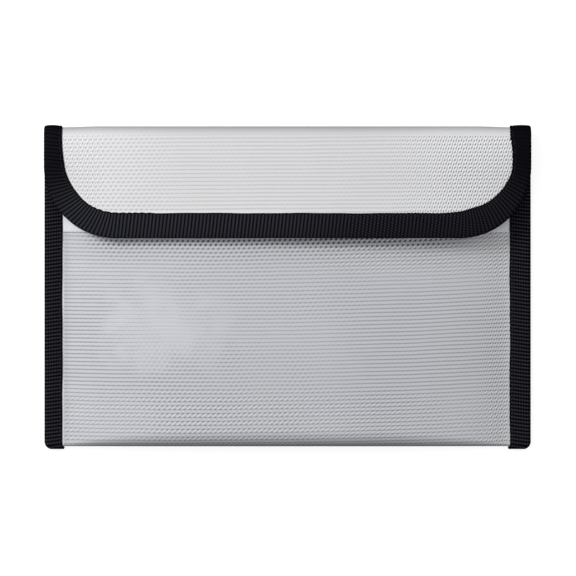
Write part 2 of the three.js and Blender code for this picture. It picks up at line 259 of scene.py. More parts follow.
def pouch_lining_depth(x, y):
    trimmed = ease((np.abs(x) - FELT_EDGE_X) / (SEAM_X - FELT_EDGE_X))
    in_pouch = 1 - ease((y - MOUTH_Y) / (CREASE_Y - MOUTH_Y))
    return lerp(LINING_DEPTH, SEAM_LINING_DEPTH, trimmed * in_pouch)


def flap_tape_width(side, t):
    """How wide the folded tape shows at t, the distance from the start of the corner's turn.

    It was eased round each corner by hand, so it's uneven and the two corners differ.
    """
    left = lerp(FLAP_TAPE_BOTTOM + 0.15, SIDE_TAPE["left"], ease((t - 32) / 38))
    bulge = 1.7 * np.exp(-((t - 10) / 12) ** 2)
    narrow = lerp(FLAP_TAPE_BOTTOM + 0.1, FLAP_TAPE_NARROWEST, ease((t - 26) / 32))
    widening = (SIDE_TAPE["right"] - FLAP_TAPE_NARROWEST) * ease((t - 60) / 14)
    right = narrow + bulge + widening
    return np.where(np.asarray(side) < 0, left, right)


def flap_margin(x, y):
    """Distance from the flap's binding tape to a place on the flap."""
    past_x = np.abs(x) - CORNER_X
    past_y = CORNER_Y - y
    in_corner = (past_x > 0) & (past_y > 0)
    straight_inset = np.minimum(EDGE_X - np.abs(x), y - FLAP_Y - STANDOFF)
    inset = np.where(in_corner, FABRIC_CORNER - np.hypot(past_x, past_y), straight_inset)
    up_the_side = FABRIC_CORNER * math.pi / 2 - past_y
    straight_t = np.where(past_y <= 0, up_the_side, past_x)
    t = np.where(in_corner, FABRIC_CORNER * np.arctan2(past_x, past_y), straight_t)
    return inset - flap_tape_width(np.sign(x), t) + STANDOFF


def pouch_margin(x, y):
    """Distance from the side binding tape to a place on the pouch."""
    tape = np.where(x < 0, SIDE_TAPE["left"], SIDE_TAPE["right"])
    return EDGE_X - np.abs(x) - tape + STANDOFF + 0 * y


# ---- Meshes ----

def add_uv_map(mesh, name, uvs):
    layer = mesh.uv_layers.new(name=name)
    corners = np.zeros(len(mesh.loops), np.int32)
    mesh.loops.foreach_get("vertex_index", corners)
    layer.data.foreach_set("uv", (uvs[corners] * MM).astype(np.float32).ravel())


def new_mesh(name, vertices, faces, uvs=None, sharp=40):
    """A smooth-shaded object from points in millimetres. uvs are per vertex, in millimetres too."""
    mesh = bpy.data.meshes.new(name)
    mesh.from_pydata((vertices * MM).tolist(), [], faces.tolist())
    if uvs is not None:
        add_uv_map(mesh, "Cloth", uvs)
    mesh.validate()
    mesh.polygons.foreach_set("use_smooth", [True] * len(mesh.polygons))
    mesh.set_sharp_from_angle(angle=math.radians(sharp))
    obj = bpy.data.objects.new(name, mesh)
    bpy.context.scene.collection.objects.link(obj)
    return obj


def signed_volume(vertices, faces):
    a, b, c, d = (vertices[faces[:, k]] for k in range(4))
    return float((a * np.cross(b, c)).sum() + (a * np.cross(c, d)).sum())


def slab_data(near, far, uv):
    """Vertices, quads and UVs of a closed sheet from two matching grids of points."""
    rows, cols = near.shape[:2]
    index = np.arange(rows * cols).reshape(rows, cols)
    a, b = index[:-1, :-1].ravel(), index[:-1, 1:].ravel()
    c, d = index[1:, 1:].ravel(), index[1:, :-1].ravel()
    lower = rows * cols
    faces = [np.stack([a, b, c, d], 1), np.stack([d, c, b, a], 1) + lower]
    rim = np.concatenate([index[0, :], index[1:, -1], index[-1, -2::-1], index[-2:0:-1, 0]])
    after = np.roll(rim, -1)
    faces.append(np.stack([after, rim, rim + lower, after + lower], 1))
    faces = np.concatenate(faces)
    vertices = np.concatenate([near.reshape(-1, 3), far.reshape(-1, 3)])
    if signed_volume(vertices, faces) < 0:
        faces = faces[:, ::-1]
    flat_uv = uv.reshape(-1, 2)
    return vertices, faces, np.concatenate([flat_uv, flat_uv])


def slab(name, near, far, uv, sharp=40):
    return new_mesh(name, *slab_data(near, far, uv), sharp=sharp)


def mirrored(half):
    half = np.asarray(half, float)
    return np.concatenate([-half[half > 0][::-1], half])


def columns(half_width, step):
    return mirrored(np.linspace(0, half_width, int(round(half_width / step)) + 1))


def flap_columns(step):
    """x places across the flap, closer together where its corner turns up to the side."""
    straight = np.linspace(0, CORNER_X, int(round(CORNER_X / step)) + 1)
    turn = np.linspace(0, math.pi / 2, int(round(FABRIC_CORNER * 1.4 / step)) + 1)[1:]
    return mirrored(np.concatenate([straight, CORNER_X + FABRIC_CORNER * np.sin(turn)]))


# ---- The strip, layer by layer ----
# A stretch is a list of row blocks: a function from depth to points, y, and the UV along the strip.

POUCH_SPAN = 140
FLAP_SPAN = 48
BOTTOM_ROWS = 21
CREASE_ROWS = 15


def front_rows(x, step):
    share = np.linspace(0, 1, int(POUCH_SPAN / step) + 1)[:, None]
    y = lerp(MOUTH_Y - STANDOFF, fold_y(x)[None, :], share)
    return lambda depth: front_point(x[None, :], y, depth), y, y


def bottom_rows(x):
    angle = np.linspace(0, math.pi, BOTTOM_ROWS)[1:, None]
    radius = fold_radius(x)[None, :]
    v = fold_y(x)[None, :] - radius * angle
    y = fold_y(x)[None, :] - radius * np.sin(angle)
    return lambda depth: bottom_point(x[None, :], angle, depth), y, v


def back_rows(x, step):
    share = np.linspace(0, 1, int(POUCH_SPAN / step) + 1)[:, None]
    y = lerp(fold_y(x)[None, :], CREASE_Y, share)
    v = CREASE_Y + math.pi * CREASE_RADIUS + (CREASE_Y - y)
    return lambda depth: back_point(x[None, :], y, depth), y, v


def crease_rows(x, start, end, skip=0):
    angle = np.linspace(start, end, CREASE_ROWS)[skip:, None]
    y = CREASE_Y + crease_radius(x)[None, :] * np.sin(angle)
    v = CREASE_Y + CREASE_RADIUS * (math.pi - angle) + 0 * x[None, :]
    return lambda depth: crease_point(x[None, :], angle, depth), y, v


def flap_rows(x, step):
    share = np.linspace(0, 1, int(FLAP_SPAN / step) + 1)[1:, None]
    y = lerp(CREASE_Y, flap_edge_y(x)[None, :], share)
    return lambda depth: flap_point(x[None, :], y, depth), y, y


def sheet_layer(name, x, blocks, depths):
    """One layer of cloth over some row blocks: depths(x, y) gives its two faces."""
    near, far, uv = [], [], []
    for place, y, v in blocks:
        y = np.broadcast_to(y, (y.shape[0], len(x)))
        top, low = depths(x[None, :], y)
        near.append(place(top))
        far.append(place(low))
        uv.append(np.stack([np.broadcast_to(x, y.shape), np.broadcast_to(v, y.shape)], -1))
    return slab(name, np.concatenate(near), np.concatenate(far), np.concatenate(uv))


def add_margin(piece, margin):
    """A second map, with the distance from the binding in place of u."""
    vertices = np.zeros(len(piece.data.vertices) * 3)
    piece.data.vertices.foreach_get("co", vertices)
    x, y, _ = vertices.reshape(-1, 3).T / MM
    distance = margin(x, y)
    add_uv_map(piece.data, "Margin", np.stack([distance, 0 * distance], -1))


def outer_depths(x, y):
    return 0.0, OUTER_THICKNESS


def felt_depths(x, y):
    return FELT_DEPTH, FELT_DEPTH + FELT_THICKNESS


def flap_lining_depths(x, y):
    return LINING_DEPTH, STACK


def pouch_lining_depths(x, y):
    depth = pouch_lining_depth(x, y)
    return depth, depth + LINING_THICKNESS


def bend_back(piece):
    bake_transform(piece)


def bend_flap(piece):
    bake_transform(piece)


# ---- Materials ----

class Nodes:
    """Short calls for building one node tree."""

    def __init__(self, tree):
        self.tree = tree

    def add(self, kind, **settings):
        node = self.tree.nodes.new(kind)
        for key, value in settings.items():
            setattr(node, key, value)
        return node

    def feed(self, socket, value):
        if isinstance(value, bpy.types.NodeSocket):
            self.tree.links.new(value, socket)
        else:
            socket.default_value = value

    def math(self, operation, a, b=0.0, c=0.0, clamp=False):
        node = self.add("ShaderNodeMath", operation=operation, use_clamp=clamp)
        for socket, value in zip(node.inputs, (a, b, c)):
            self.feed(socket, value)
        return node.outputs[0]

    def times(self, a, b, clamp=False):
        return self.math("MULTIPLY", a, b, clamp=clamp)

    def linear(self, value, slope, offset, clamp=False):
        """value * slope + offset"""
        return self.math("MULTIPLY_ADD", value, slope, offset, clamp)

    def between(self, value, low, high, smooth=True):
        """0 below low, 1 above high."""
        node = self.add("ShaderNodeMapRange")
        node.interpolation_type = "SMOOTHSTEP" if smooth else "LINEAR"
        self.feed(node.inputs["Value"], value)
        self.feed(node.inputs["From Min"], low)
        self.feed(node.inputs["From Max"], high)
        return node.outputs["Result"]

    def band(self, value, low, low_full, high_full, high):
        """1 from low_full to high_full, 0 below low and above high."""
        rise = self.between(value, low, low_full)
        return self.times(rise, self.between(value, high, high_full))

    def mix(self, share, a, b):
        """Colour a, or b where share is 1."""
        node = self.add("ShaderNodeMix", data_type="RGBA")
        self.feed(node.inputs[0], share)
        self.feed(node.inputs[6], a)
        self.feed(node.inputs[7], b)
        return node.outputs[2]

    def noise(self, vector, scale, detail=2.0, roughness=0.5):
        node = self.add("ShaderNodeTexNoise")
        self.feed(node.inputs["Vector"], vector)
        self.feed(node.inputs["Scale"], scale)
        self.feed(node.inputs["Detail"], detail)
        self.feed(node.inputs["Roughness"], roughness)
        return node.outputs["Fac"]

    def bump(self, height, distance, strength):
        node = self.add("ShaderNodeBump")
        self.feed(node.inputs["Height"], height)
        self.feed(node.inputs["Distance"], distance)
        self.feed(node.inputs["Strength"], strength)
        return node.outputs["Normal"]


def new_material(name, **constants):
    material = bpy.data.materials.new(name)
    material.use_nodes = True
    nodes = Nodes(material.node_tree)
    shader = material.node_tree.nodes["Principled BSDF"]
    for key, value in constants.items():
        shader.inputs[key].default_value = value
    return material, nodes, shader


def cloth_uv(nodes):
    uv = nodes.add("ShaderNodeUVMap", uv_map="Cloth").outputs["UV"]
    split = nodes.add("ShaderNodeSeparateXYZ")
    nodes.feed(split.inputs[0], uv)
    return uv, split.outputs[0], split.outputs[1]


def plain_weave(nodes, u, v, pitch_u, pitch_v):
    """1 on the yarns that pass over and 0 on those that pass under."""
    wave_u = nodes.math("COSINE", nodes.times(u, math.pi / pitch_u))
    wave_v = nodes.math("COSINE", nodes.times(v, math.pi / pitch_v))
    return nodes.linear(nodes.times(wave_u, wave_v), 0.5, 0.5)


ROW_PITCH = 1.934
DASH_PITCH = 2.52
ROW_LEAN = 0.35
# The flap and the pouch are one cloth: the flap's tint is painted lighter, for the light that falls
# more on the flap.
FLAP_LIT_TINT = ((0.79, 0.79, 0.80, 1), (0.82, 0.82, 0.83, 1))
POUCH_TINT = ((0.635, 0.645, 0.665, 1), (0.66, 0.665, 0.73, 1))


def silver_material(name, front_tint, edge_light_and_shade, row_rise, pattern):
    """Aluminised coating over plain-woven glass cloth.

    The yarns lie in rows, with a dark line between two rows. Where a cross yarn dips into the line
    it leaves a dark dash, and the dashes of one line stand between those of the next. Elsewhere the
    same yarns show as bright slanted ovals on the rows, or, where the cloth is seen against its
    lean, as fine steep strokes. The dark lines and dashes are painted shade in the hollows between
    the yarns, and the bright ovals and strokes are painted highlights on them. pattern(nodes, u, v,
    spotty) gives how strong the lines, dashes, ovals and strokes are at a place on the cloth.
    row_rise is how steeply the rows climb to the right, and how fast that grows. front_tint is the
    cloth's tint up to about the crease's top; the flap's copy is painted lighter than the pouch's,
    for the light that falls more on the flap. The edge tones give a painted lighter or darker
    colour and its share for the left and the right edge, for how the light falls across the cloth.
    """
    material, nodes, shader = new_material(
        name, **{"Metallic": 0.3, "IOR": 1.45, "Specular IOR Level": 0.25})
    uv, u, v = cloth_uv(nodes)
    broad = nodes.noise(uv, 22.0, 2.0, 0.55)
    cloudy = nodes.noise(uv, 47.0, 2.0, 0.5)
    fine = nodes.noise(uv, 420.0, 3.0, 0.6)
    # hand-laid cloth: the rows climb a little to the right and aren't quite straight
    drift = nodes.times(nodes.math("SUBTRACT", broad, 0.5), 0.0010)
    climb = nodes.times(u, nodes.linear(u, -row_rise[1], -row_rise[0]))
    row = nodes.math("ADD", nodes.math("ADD", climb, v), drift)
    phase = nodes.times(row, math.pi / (ROW_PITCH * MM))
    turn = nodes.times(u, 2 * math.pi / (DASH_PITCH * MM))
    on_line = nodes.math("COSINE", phase)
    off_line = nodes.math("WRAP", row, ROW_PITCH * MM / 2, -ROW_PITCH * MM / 2)
    leaning = nodes.linear(off_line, -ROW_LEAN, u)
    cross = nodes.math("COSINE", nodes.times(leaning, 2 * math.pi / (DASH_PITCH * MM)))
    line = nodes.between(nodes.math("ABSOLUTE", on_line), 0.72, 1.0)
    wide_line = nodes.between(nodes.math("ABSOLUTE", on_line), 0.25, 0.85)
    stagger = nodes.times(cross, nodes.math("SIGN", on_line))
    dash = nodes.times(nodes.between(stagger, 0.2, -0.7), wide_line)
    oval = nodes.math("SINE", nodes.linear(phase, -2.0, turn))
    steep = nodes.math("COSINE", nodes.linear(turn, 2.0, nodes.times(phase, -1.0)))
    counter = nodes.math("COSINE", nodes.linear(turn, 2.0, phase))
    strokes = nodes.linear(steep, 0.65, nodes.times(counter, 0.3))
    strokes = nodes.linear(oval, 0.38, strokes)

    past_flap = nodes.math("SUBTRACT", v, CREASE_Y * MM)
    smooth_band = nodes.band(past_flap, 0.0008, 0.0038, 0.0220, 0.0280)
    clear = nodes.linear(smooth_band, -0.85, 1.0)
    spotty = nodes.between(cloudy, 0.40, 0.58)
    line_share, dash_share, oval_share, stroke_share = pattern(nodes, u, v, spotty)
    dashes = nodes.times(dash, dash_share)
    lines = nodes.times(line, line_share)
    dark = nodes.times(nodes.math("ADD", dashes, lines), clear, clamp=True)
    ovals = nodes.times(oval, oval_share)
    shade = nodes.linear(strokes, stroke_share, ovals)
    shade = nodes.times(shade, clear)

    # painted light: the flap's copy of the cloth gets the lighter tint up to about the crease's top
    pouch_tint = nodes.mix(broad, *POUCH_TINT)
    past_crease = nodes.between(past_flap, 0.009, 0.017)
    tint = nodes.mix(past_crease, nodes.mix(broad, *front_tint), pouch_tint)
    # painted shade: the flap side of the crease's rounding is darkened a little, where it turns
    # away from the light
    crease_shade = nodes.band(past_flap, -0.0005, 0.0035, 0.0055, 0.009)
    tint = nodes.mix(nodes.times(crease_shade, 0.08), tint, (0.47, 0.475, 0.49, 1))
    # painted light and shade: each edge is lightened or darkened for how the light falls across the
    # cloth
    for (tone, share), start, full in zip(edge_light_and_shade, (-0.045, 0.030), (-0.105, 0.095)):
        edge_light_share = nodes.times(nodes.between(u, start, full), share)
        tint = nodes.mix(edge_light_share, tint, tone)
    worn = nodes.mix(nodes.times(fine, 0.14), tint, (0.5, 0.51, 0.54, 1))
    # painted highlights on the yarns, towards white, and painted shade in the hollows between them
    lit = nodes.mix(nodes.times(shade, 1.0, clamp=True), worn, (0.97, 0.975, 0.98, 1))
    shaded = nodes.linear(shade, -0.42, dark, clamp=True)
    shaded = nodes.math("MAXIMUM", shaded, dark)
    colour = nodes.mix(shaded, lit, (0.10, 0.105, 0.125, 1))
    # painted highlight: a thin bright line on the cloth beside the tape, stronger towards the left
    margin = nodes.add("ShaderNodeSeparateXYZ")
    nodes.feed(margin.inputs[0], nodes.add("ShaderNodeUVMap", uv_map="Margin").outputs["UV"])
    rim = nodes.between(margin.outputs[0], 0.0011, 0.0004)
    painted_highlight_share = nodes.linear(nodes.between(u, 0.05, -0.02), 0.65, 0.15)
    colour = nodes.mix(nodes.times(rim, painted_highlight_share), colour, (0.97, 0.97, 0.98, 1))
    nodes.feed(shader.inputs["Base Color"], colour)
    rough = nodes.linear(fine, 0.12, 0.50)
    nodes.feed(shader.inputs["Roughness"], nodes.linear(dark, 0.25, rough))
    relief = nodes.linear(line, -0.45, shade)
    relief = nodes.linear(dashes, -1.4, relief)
    height = nodes.linear(fine, 0.12, nodes.times(relief, clear))
    nodes.feed(shader.inputs["Normal"], nodes.bump(height, 0.00012, 0.8))
    return material


def flap_pattern(nodes, u, v, spotty):
    left = nodes.between(u, -0.050, -0.075)
    far_left = nodes.between(u, -0.080, -0.100)
    lines = nodes.linear(spotty, -0.05, nodes.linear(left, -0.10, 0.22))
    dashes = nodes.linear(spotty, 0.04, nodes.times(left, 0.17))
    strokes = nodes.linear(nodes.between(u, 0.036, 0.088), 1.15, nodes.times(far_left, 0.40))
    return lines, dashes, 0.0, strokes


def rubbed_patch(nodes, u, v, spotty):
    """0 in one patch left of the middle, which handling has pressed nearly smooth."""
    away_u = nodes.math("POWER", nodes.linear(u, 1 / 0.035, 0.062 / 0.035), 2.0)
    away_v = nodes.math("POWER", nodes.linear(v, 1 / 0.025, 0.021 / 0.025), 2.0)
    away = nodes.math("ADD", nodes.math("ADD", away_u, away_v), nodes.times(spotty, 0.5))
    return nodes.between(away, 0.1, 1.6)


def pouch_pattern(nodes, u, v, spotty):
    """Dashes are bold just below the flap's edge, and lines take over farther down. Near the bottom
    fold the cloth turns away, and shows its dashes and ovals."""
    near_bottom = nodes.between(v, -0.044, -0.060)
    middle = nodes.band(u, -0.085, -0.030, 0.045, 0.090)
    dotted = nodes.times(
        nodes.between(v, -0.022, -0.036), nodes.band(u, -0.082, -0.064, 0.000, 0.035))

    beside = nodes.between(nodes.math("ABSOLUTE", u), 0.015, 0.050)
    lower = nodes.between(v, 0.008, -0.012)
    lines = nodes.linear(nodes.times(beside, lower), 0.14, 0.27)
    unrubbed = rubbed_patch(nodes, u, v, spotty)
    lines = nodes.times(lines, unrubbed)
    fainter = nodes.times(near_bottom, nodes.linear(middle, 0.36, -0.38))
    fainter = nodes.linear(dotted, -0.20, fainter)
    lines = nodes.times(lines, nodes.math("ADD", fainter, 1.0))

    close = nodes.between(v, (FLAP_Y - 5.5) * MM, (FLAP_Y - 3) * MM)
    dashes = nodes.linear(close, 0.40, nodes.times(nodes.between(v, 0.008, 0.020), 0.26))
    dashes = nodes.times(dashes, nodes.band(u, -0.106, -0.084, 0.066, 0.096))
    dashes = nodes.linear(dotted, 0.15, dashes)
    broken = nodes.times(
        nodes.between(v, -0.026, -0.010), nodes.band(u, -0.070, -0.045, 0.015, 0.060))
    dashes = nodes.linear(nodes.times(broken, unrubbed), 0.09, dashes)
    dashes = nodes.linear(near_bottom, 0.09, dashes)
    dashes = nodes.linear(spotty, 0.05, dashes)

    low = nodes.times(near_bottom, nodes.linear(middle, 0.15, 0.15))
    right = nodes.times(nodes.between(u, -0.005, 0.045), nodes.between(v, 0.000, 0.014))
    ovals = nodes.linear(right, 0.40, low)
    strokes = nodes.times(nodes.between(u, 0.088, 0.103), 0.60)
    return lines, dashes, ovals, strokes


def tape_material(name, flecked_from, flecks, ribs, smooth_ends, staggered):
    """Black ribbed polyester tape.

    Past flecked_from, in metres along it, the ribs break into flecks, by the share flecks. The
    ribs are the tape's weave, and their crests are painted lighter, a painted sheen on the black
    tape. ribs is how far they stand out at its start and at 0.25 m, and how narrow they are.
    smooth_ends is the tape's length if its ribs are pressed flat near both ends, else None. The
    flecks of one rib stand between those of the next where the tape is staggered.
    """
    material, nodes, shader = new_material(name, **{"IOR": 1.5, "Specular IOR Level": 0.04})
    uv, u, v = cloth_uv(nodes)
    fine = nodes.noise(uv, 1500.0, 2.0, 0.7)
    worn = nodes.noise(uv, 55.0, 2.0)
    slanted = nodes.linear(u, 0.12, v)
    rib = nodes.math("COSINE", nodes.times(slanted, math.pi / (RIB_PITCH * MM)))
    crest = nodes.between(nodes.math("ABSOLUTE", rib), ribs[2], 1.0)
    specks = nodes.math("COSINE", nodes.times(u, math.pi / (FLECK_PITCH * MM)))
    if staggered:
        specks = nodes.times(specks, nodes.math("SIGN", rib))
    raised = nodes.between(specks, -0.6, 0.8)
    broken = nodes.times(nodes.between(v, flecked_from, flecked_from + 0.05), flecks)
    broken = nodes.linear(worn, 0.25, broken, clamp=True)
    solid = nodes.linear(broken, -0.85, 1.0)
    level = nodes.times(crest, nodes.linear(raised, broken, solid, clamp=True))
    # painted shadow: the crests' sheen fades out along both selvages, leaving a dark line
    level = nodes.times(level, nodes.between(u, 0.0002, 0.0011))
    if smooth_ends:
        pressed = nodes.band(v, 0.022, 0.050, smooth_ends - 0.045, smooth_ends - 0.018)
        level = nodes.times(level, nodes.linear(pressed, 0.85, 0.15))
    fading = nodes.between(v, 0.0, 0.25, smooth=False)
    level = nodes.times(level, nodes.linear(fading, ribs[1] - ribs[0], ribs[0]))
    # painted sheen: the rib crests are lighter than the black tape
    base = nodes.mix(level, (0.0012, 0.0012, 0.0026, 1), (0.0520, 0.0530, 0.0680, 1))
    colour = nodes.mix(nodes.times(fine, 0.25), base, (0.006, 0.006, 0.009, 1))
    nodes.feed(shader.inputs["Base Color"], colour)
    nodes.feed(shader.inputs["Roughness"], nodes.linear(fine, 0.2, 0.6))
    height = nodes.linear(fine, 0.2, level)
    nodes.feed(shader.inputs["Normal"], nodes.bump(height, 0.00016, 0.9))
    return material


def lining_material():
    """A plain fine cloth."""
    material, nodes, shader = new_material("lining", **{"IOR": 1.45, "Sheen Weight": 0.1})
    uv, u, v = cloth_uv(nodes)
    broad = nodes.noise(uv, 35.0, 3.0)
    fine = nodes.noise(uv, 900.0, 2.0, 0.7)
    over = plain_weave(nodes, u, v, 0.0009, 0.0009)
    gap = nodes.times(nodes.between(over, 0.55, 0.35), nodes.between(over, 0.15, 0.5))
    shade = nodes.math("ADD", nodes.times(gap, 0.7), nodes.times(broad, 0.3))
    colour = nodes.mix(shade, (0.62, 0.63, 0.65, 1), (0.30, 0.31, 0.34, 1))
    nodes.feed(shader.inputs["Base Color"], colour)
    nodes.feed(shader.inputs["Roughness"], nodes.linear(fine, 0.15, 0.62))
    height = nodes.linear(fine, 0.3, over)
    nodes.feed(shader.inputs["Normal"], nodes.bump(height, 0.0001, 0.7))
    return material


def felt_material():
    material, nodes, shader = new_material("felt", **{"Roughness": 0.95, "Sheen Weight": 0.3})
    place = nodes.add("ShaderNodeTexCoord").outputs["Object"]
    fibres = nodes.noise(place, 700.0, 4.0, 0.75)
    clumps = nodes.noise(place, 120.0, 3.0)
    shade = nodes.times(fibres, clumps)
    colour = nodes.mix(shade, (0.80, 0.77, 0.70, 1), (0.55, 0.53, 0.48, 1))
    nodes.feed(shader.inputs["Base Color"], colour)
    nodes.feed(shader.inputs["Normal"], nodes.bump(fibres, 0.0003, 0.6))
    return material


def loop_material():
    """Soft napped loops, almost without grain."""
    material, nodes, shader = new_material(
        "loop_tape", **{"IOR": 1.45, "Sheen Weight": 0.35, "Sheen Roughness": 0.4})
    place = nodes.add("ShaderNodeTexCoord").outputs["Object"]
    nap = nodes.noise(place, 1400.0, 4.0, 0.8)
    swirl = nodes.noise(place, 260.0, 3.0, 0.6)
    shade = nodes.times(nodes.between(nap, 0.62, 0.38), swirl)
    colour = nodes.mix(shade, (0.96, 0.965, 1.0, 1), (0.80, 0.81, 0.90, 1))
    nodes.feed(shader.inputs["Base Color"], colour)
    nodes.feed(shader.inputs["Roughness"], nodes.linear(nap, 0.1, 0.85))
    nodes.feed(shader.inputs["Normal"], nodes.bump(nap, 0.00035, 0.6))
    return material


def hook_material():
    """Rows of moulded hooks on a woven base."""
    material, nodes, shader = new_material("hook_tape", **{"IOR": 1.5})
    uv, u, v = cloth_uv(nodes)
    over = plain_weave(nodes, u, v, 0.0008, 0.0012)
    grain = nodes.noise(uv, 1800.0, 2.0)
    hooks = nodes.between(over, 0.55, 0.9)
    colour = nodes.mix(hooks, (0.42, 0.43, 0.50, 1), (0.74, 0.75, 0.83, 1))
    nodes.feed(shader.inputs["Base Color"], colour)
    nodes.feed(shader.inputs["Roughness"], nodes.linear(grain, 0.2, 0.4))
    nodes.feed(shader.inputs["Normal"], nodes.bump(hooks, 0.0005, 0.8))
    return material


def thread_material(name, dark, light):
    material, nodes, shader = new_material(name, **{"IOR": 1.5, "Specular IOR Level": 0.2})
    place = nodes.add("ShaderNodeTexCoord").outputs["Object"]
    twist = nodes.add("ShaderNodeTexWave", wave_type="BANDS", bands_direction="DIAGONAL")
    nodes.feed(twist.inputs["Vector"], place)
    nodes.feed(twist.inputs["Scale"], 900.0)
    colour = nodes.mix(twist.outputs["Fac"], dark, light)
    nodes.feed(shader.inputs["Base Color"], colour)
    rough = nodes.linear(twist.outputs["Fac"], 0.15, 0.5)
    nodes.feed(shader.inputs["Roughness"], rough)
    nodes.feed(shader.inputs["Normal"], nodes.bump(twist.outputs["Fac"], 0.00008, 0.6))
    return material


# painted light and shade for the cloth's left and right edges
EDGE_HIGHLIGHT = (0.97, 0.97, 0.98, 1)
EDGE_SHADE = (0.40, 0.405, 0.42, 1)
SILVER_FLAP_LIT = silver_material(
    "silver_flap_lit", FLAP_LIT_TINT, ((EDGE_HIGHLIGHT, 0.42), (EDGE_HIGHLIGHT, 0.60)), (0.008, 0.0), flap_pattern)
SILVER_POUCH = silver_material(
    "silver_pouch", POUCH_TINT, ((EDGE_SHADE, 0.20), (EDGE_HIGHLIGHT, 0.22)), (0.016, 0.16), pouch_pattern)
FELT = felt_material()
LINING = lining_material()
LOOP = loop_material()
HOOK = hook_material()
THREAD = thread_material("thread", (0.003, 0.003, 0.005, 1), (0.014, 0.014, 0.018, 1))
PALE_THREAD = thread_material("pale_thread", (0.80, 0.81, 0.88, 1), (0.92, 0.93, 0.99, 1))


def dress(piece, material, slot):
    piece.data.materials.append(material)
    return piece


# ---- Cloth pieces ----

# material, slot, end of the CAD nodes' names, depths in the pouch and the flap, half width, step
LAYERS = {
    "cloth": (SILVER_POUCH, "coated_fabric", "panel", outer_depths, outer_depths, EDGE_X, 2.0),
    "felt": (FELT, "felt", "insulation", felt_depths, felt_depths, FELT_EDGE_X, 5.0),
    "lining": (LINING, "lining", "lining", pouch_lining_depths, flap_lining_depths, EDGE_X, 2.5),
}


def make_strip(layer):
    material, slot, part, pouch_depths, flap_depths, half_width, step = LAYERS[layer]
    x = columns(half_width, step)

    blocks = [front_rows(x, step), bottom_rows(x)]
    front = sheet_layer(f"front_{layer}_sheet", x, blocks, pouch_depths)
    dress(front, material, slot)
    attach(front, "pouch")
    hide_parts(f"front_{part}", "bottom_fold" if layer == "cloth" else f"bottom_{part}")

    blocks = [back_rows(x, step), crease_rows(x, 0, math.pi / 2, skip=1)]
    back = sheet_layer(f"back_{layer}_sheet", x, blocks, pouch_depths)
    dress(back, material, slot)
    if layer == "cloth":
        add_margin(front, pouch_margin)
        add_margin(back, pouch_margin)
    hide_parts(f"back_{part}", f"crease_{part}")
    bend_back(back)

    x = flap_columns(step)
    blocks = [crease_rows(x, math.pi / 2, math.pi), flap_rows(x, step / 2)]
    flap = sheet_layer(f"flap_{layer}_sheet", x, blocks, flap_depths)
    dress(flap, SILVER_FLAP_LIT if layer == "cloth" else material, slot)
    if layer == "cloth":
        add_margin(flap, flap_margin)
    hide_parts(f"flap_{part}")
    bend_flap(flap)


# ---- Edge binding ----

def inside_width(width):
    """The tape's hidden half is folded no wider than this, which keeps it off the hook tape."""
    return min(width, FLAP_TAPE_BOTTOM)


def tape_section(width, stack, rise, squeeze=1.0):
    """The folded tape's section: insets and depths of its outer and inner faces.

    rise lifts the outer face at each rib. The tape thins at its two selvages, is drawn down along
    the stitching and puffs up between the stitching and the fold. A squeeze near 0 closes the two
    halves on each other where there is no cloth between them.
    """
    reach = width - STANDOFF
    from_edge = np.concatenate([[0, 0.12, 0.4, 0.8, SEAM_INSET, 2.0, 2.8],
                                np.linspace(3.8, reach - 0.6, 8)])
    body = TAPE_THICKNESS * (0.45 + 0.55 * ease(from_edge / 0.4))
    groove = 0.13 * np.exp(-((from_edge - SEAM_INSET) / 0.45) ** 2)
    puff = 0.3 * np.sin(math.pi * np.clip((from_edge - 0.6) / (reach + 0.4), 0, 1))
    outer = TAPE_GAP + body - groove + puff + rise
    inner = TAPE_GAP - 0.5 * groove + puff
    leg = reach - from_edge
    inside_leg = leg * (inside_width(width) - STANDOFF) / reach
    turn = np.linspace(-math.pi / 2, math.pi / 2, 11)[1:-1]
    bend = np.cos(turn) ** 0.75
    middle = stack / 2
    insets = np.concatenate([leg, -(STANDOFF + 0.5 * rise) * bend, inside_leg[::-1]])
    inner_insets = np.concatenate([leg, -TAPE_GAP * bend, inside_leg[::-1]])
    inner_half = (middle + inner) * squeeze + 0.02
    outer_half = inner_half + outer - inner
    inner_turn = ((middle + TAPE_GAP) * squeeze + 0.02) * np.sin(turn)
    outer_turn = inner_turn + (TAPE_THICKNESS + 0.5 * rise) * np.sin(turn)
    depths = middle + np.concatenate([-outer_half, outer_turn, outer_half[::-1]])
    inner_depths = middle + np.concatenate([-inner_half, inner_turn, inner_half[::-1]])
    return insets, depths, inner_insets, inner_depths


def rib_rise(s):
    """Height of the tape's face at distance s along it: rounded ribs with narrow valleys."""
    return RIB_HEIGHT * (np.abs(np.cos(math.pi * s / RIB_PITCH)) ** 0.6 * 2 - 1)


def tape_uv(insets, depths, s):
    """u is the distance from the nearer selvage round the section, v is the distance along."""
    steps = np.hypot(np.diff(insets), np.diff(depths))
    across = np.concatenate([[0], np.cumsum(steps)])
    return np.stack([np.minimum(across, across[-1] - across), np.full(len(insets), s)], -1)


def sweep_tape(name, stations, material):
    """stations: dicts of s, width, stack and place(inset, depth)."""
    near, far, uv = [], [], []
    for station in stations:
        rise = rib_rise(station["s"])
        insets, depths, inner_insets, inner_depths = tape_section(
            station["width"], station["stack"], rise, station.get("squeeze", 1.0))
        near.append(station["place"](insets, depths))
        far.append(station["place"](inner_insets, inner_depths))
        uv.append(tape_uv(insets, depths, station["s"]))
    piece = slab(name, np.array(near), np.array(far), np.array(uv), sharp=60)
    return dress(piece, material, "binding_tape")


